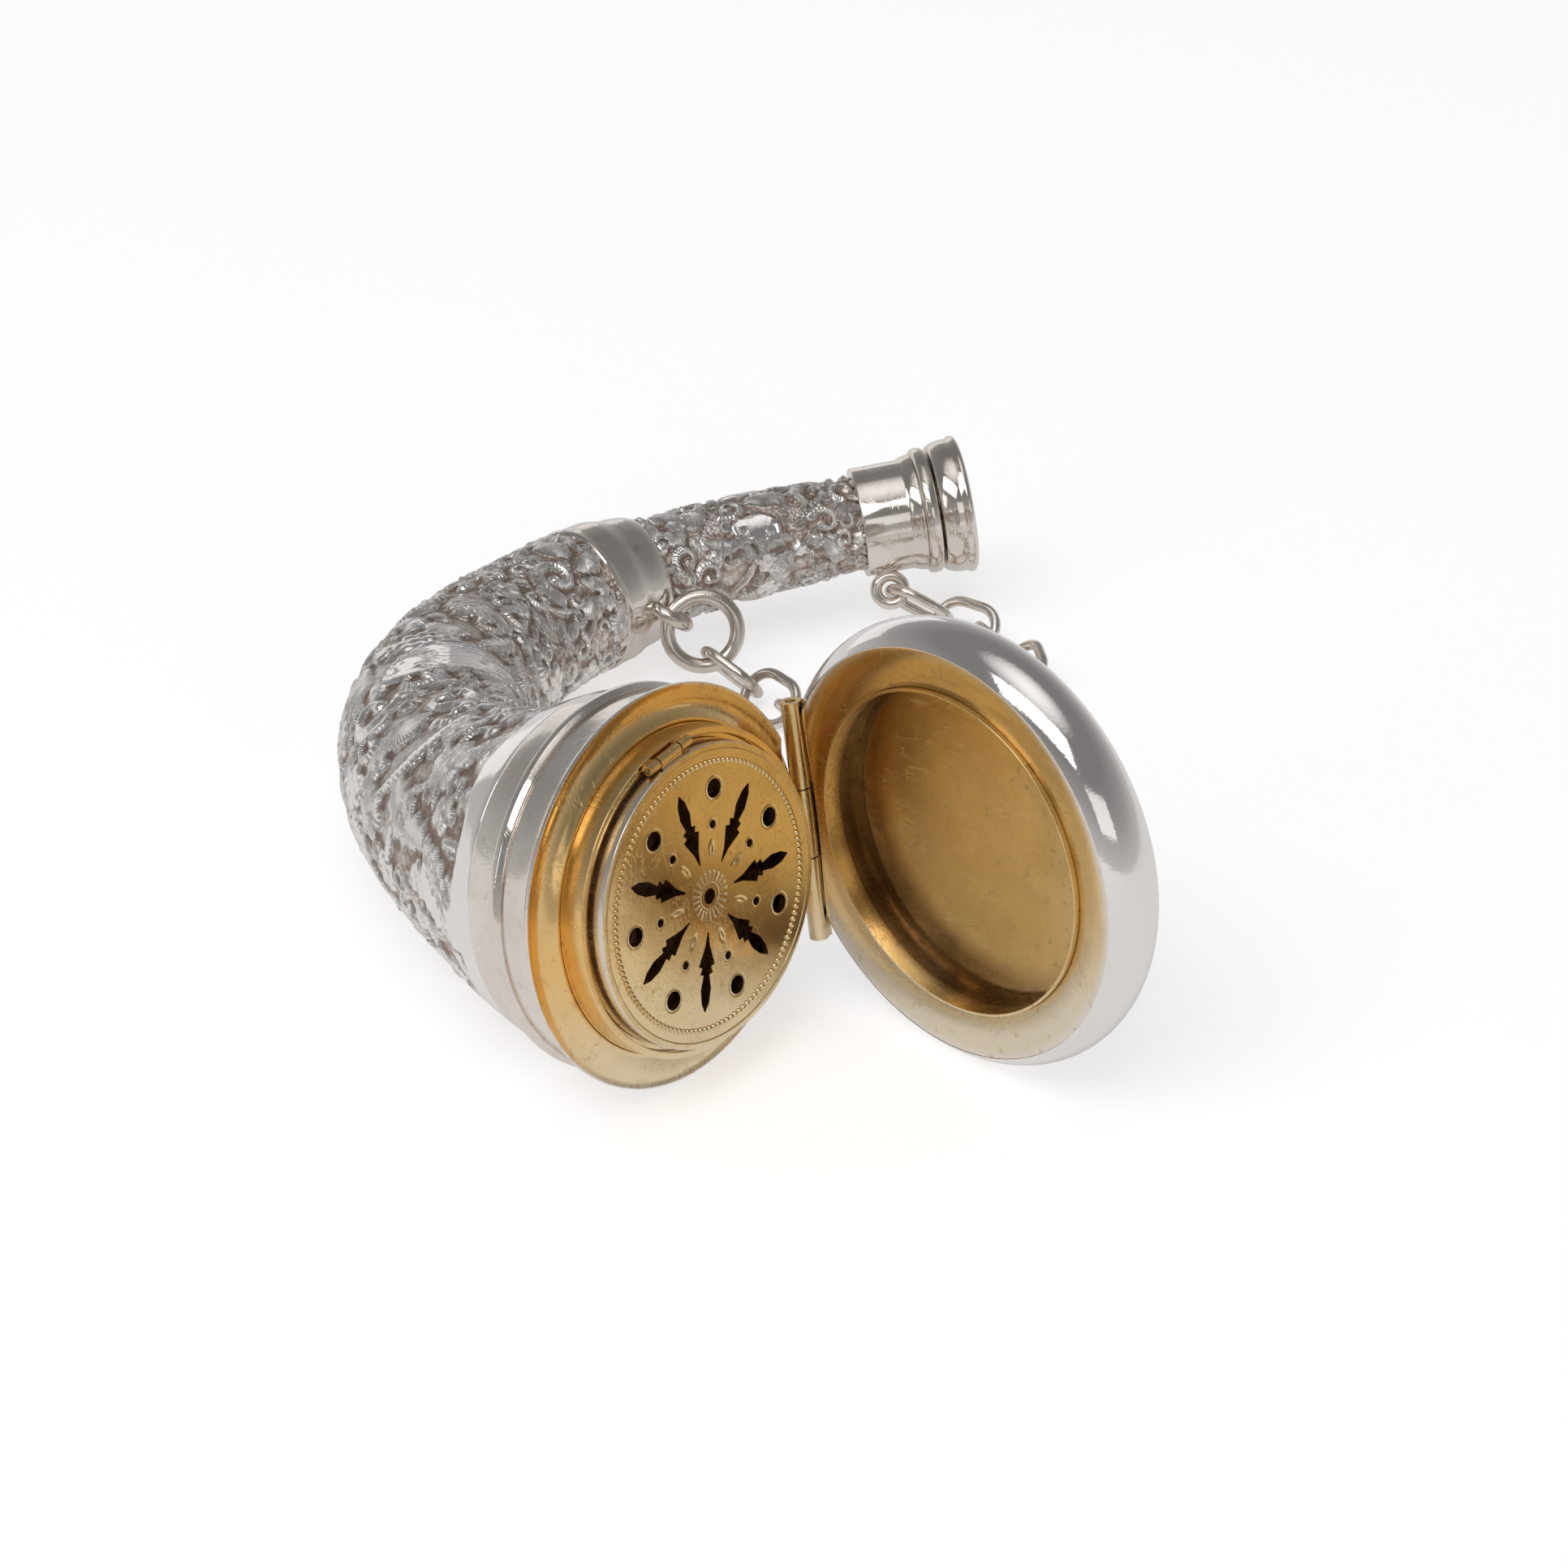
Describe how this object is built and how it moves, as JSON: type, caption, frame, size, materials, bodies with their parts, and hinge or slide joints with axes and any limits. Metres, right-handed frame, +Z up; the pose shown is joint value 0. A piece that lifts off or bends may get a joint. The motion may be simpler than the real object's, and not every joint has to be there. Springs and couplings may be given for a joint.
{
  "type": "vinaigrette",
  "caption": "Horn-shaped parcel-gilt silver vinaigrette with a hinged lid, a hinged pierced grille, a chain between two eyes and a flared pull-out end.",
  "frame": {"origin": "on the table under the middle of the object as it lies in the picture, with the lid open", "axes": "+Z up from the table; the mouth faces -Y and tilts up by about 10 degrees; the horn bends towards +X"},
  "size_m": [0.0752, 0.0709, 0.0299],
  "materials": {
    "silver": "polished silver, slightly worn",
    "chased_silver": "chased silver with dark tarnish in the recesses",
    "gilt": "silver gilt, polished and scratched",
    "pin_steel": "drawn wire",
    "sponge": "open-celled natural sponge, dry and darkened",
    "cork": "cork"
  },
  "bodies": {
    "horn": {"horn_body": "chased_silver", "horn_band": "silver", "horn_neck": "chased_silver", "mouth_collar": "silver", "reeded_wire": "silver", "mouth_flange": "gilt", "grille_seat": "gilt", "seat_floor": "gilt", "sponge": "sponge", "grille_hinge_fixed": "gilt", "grille_hinge_pin": "pin_steel", "body_knuckle": "silver", "lid_hinge_pin": "pin_steel", "band_eye": "silver", "collar_eye": "silver", "end_collar": "silver", "collar_moulding": "silver", "scent_liner": "gilt"},
    "grille": {"grille_frame": "silver", "grille_plate": "gilt", "grille_border": "gilt", "grille_hinge_moving": "gilt"},
    "lid": {"lid_shell": "chased_silver", "lid_lining": "gilt", "lid_bezel": "gilt", "lid_pan": "gilt", "lid_knuckle_upper": "silver", "lid_knuckle_lower": "silver"},
    "mouthpiece_end": {"mouthpiece": "silver", "mouthpiece_wire": "silver", "stopper_plug": "silver", "stopper_cork": "cork"},
    "ring": {"jump_ring": "silver"},
    "link_01": {"chain_link_01": "silver"},
    "link_02": {"chain_link_02": "silver"},
    "link_03": {"chain_link_03": "silver"},
    "link_04": {"chain_link_04": "silver"},
    "link_05": {"chain_link_05": "silver"},
    "link_06": {"chain_link_06": "silver"},
    "link_07": {"chain_link_07": "silver"},
    "link_08": {"chain_link_08": "silver"},
    "link_09": {"chain_link_09": "silver"},
    "link_10": {"chain_link_10": "silver"},
    "link_11": {"chain_link_11": "silver"},
    "link_12": {"chain_link_12": "silver"}
  },
  "joints": [
    {"name": "lid_hinge", "type": "hinge", "parent": "horn", "child": "lid", "pos_m": [-0.01211, -0.00807, 0.01271], "axis": [0.0368, 0.1816, 0.9827], "range_deg": [-84, 6.6]},
    {"name": "grille_hinge", "type": "hinge", "parent": "horn", "child": "grille", "pos_m": [-0.02576, -0.00842, 0.02355], "axis": [-0.9936, -0.0205, -0.1111], "range_deg": [0, 100]},
    {"name": "mouthpiece_pull", "type": "slide", "parent": "horn", "child": "mouthpiece_end", "axis": [0.749, -0.6516, 0.1204], "range_m": [0, 0.008]},
    {"name": "ring_swing", "type": "hinge", "parent": "horn", "child": "ring", "pos_m": [0.01142, 0.02371, 0.00595], "axis": [0, 0, 1], "range_deg": [-1, 1]},
    {"name": "link_01_swing", "type": "hinge", "parent": "ring", "child": "link_01", "pos_m": [0.01249, 0.02084, 0.0031], "axis": [0, 0, -1], "range_deg": [-1, 1]},
    {"name": "link_02_swing", "type": "hinge", "parent": "link_01", "child": "link_02", "pos_m": [0.01278, 0.0171, 0.0017], "axis": [0, 0, 1], "range_deg": [-1.2, 1.2]},
    {"name": "link_03_swing", "type": "hinge", "parent": "link_02", "child": "link_03", "pos_m": [0.01195, 0.01319, 0.0017], "axis": [0, 0, -1], "range_deg": [-1.4, 1.4]},
    {"name": "link_04_swing", "type": "hinge", "parent": "link_03", "child": "link_04", "pos_m": [0.01166, 0.0092, 0.0017], "axis": [0, 0, 1], "range_deg": [-1.8, 1.8]},
    {"name": "link_05_swing", "type": "hinge", "parent": "link_04", "child": "link_05", "pos_m": [0.01298, 0.00543, 0.0017], "axis": [0, 0, -1], "range_deg": [-2.2, 2.2]},
    {"name": "link_06_swing", "type": "hinge", "parent": "link_05", "child": "link_06", "pos_m": [0.01571, 0.00251, 0.0017], "axis": [0, 0, 1], "range_deg": [-3, 3]},
    {"name": "link_07_swing", "type": "hinge", "parent": "link_06", "child": "link_07", "pos_m": [0.01938, 0.00092, 0.0017], "axis": [0, 0, -1], "range_deg": [-4, 4]},
    {"name": "link_08_swing", "type": "hinge", "parent": "link_07", "child": "link_08", "pos_m": [0.02338, 0.00094, 0.0017], "axis": [0, 0, 1], "range_deg": [-6, 6]},
    {"name": "link_12_swing", "type": "hinge", "parent": "horn", "child": "link_12", "pos_m": [0.02788, 0.01639, 0.00367], "axis": [0, 0, 1], "range_deg": [-1.8, 1.8]},
    {"name": "link_11_swing", "type": "hinge", "parent": "link_12", "child": "link_11", "pos_m": [0.02979, 0.01287, 0.0017], "axis": [0, 0, -1], "range_deg": [-1.5, 1.5]},
    {"name": "link_10_swing", "type": "hinge", "parent": "link_11", "child": "link_10", "pos_m": [0.03013, 0.00888, 0.0017], "axis": [0, 0, 1], "range_deg": [-4, 4]},
    {"name": "link_09_swing", "type": "hinge", "parent": "link_10", "child": "link_09", "pos_m": [0.02885, 0.00509, 0.0017], "axis": [0, 0, -1], "range_deg": [-6, 6]}
  ]
}
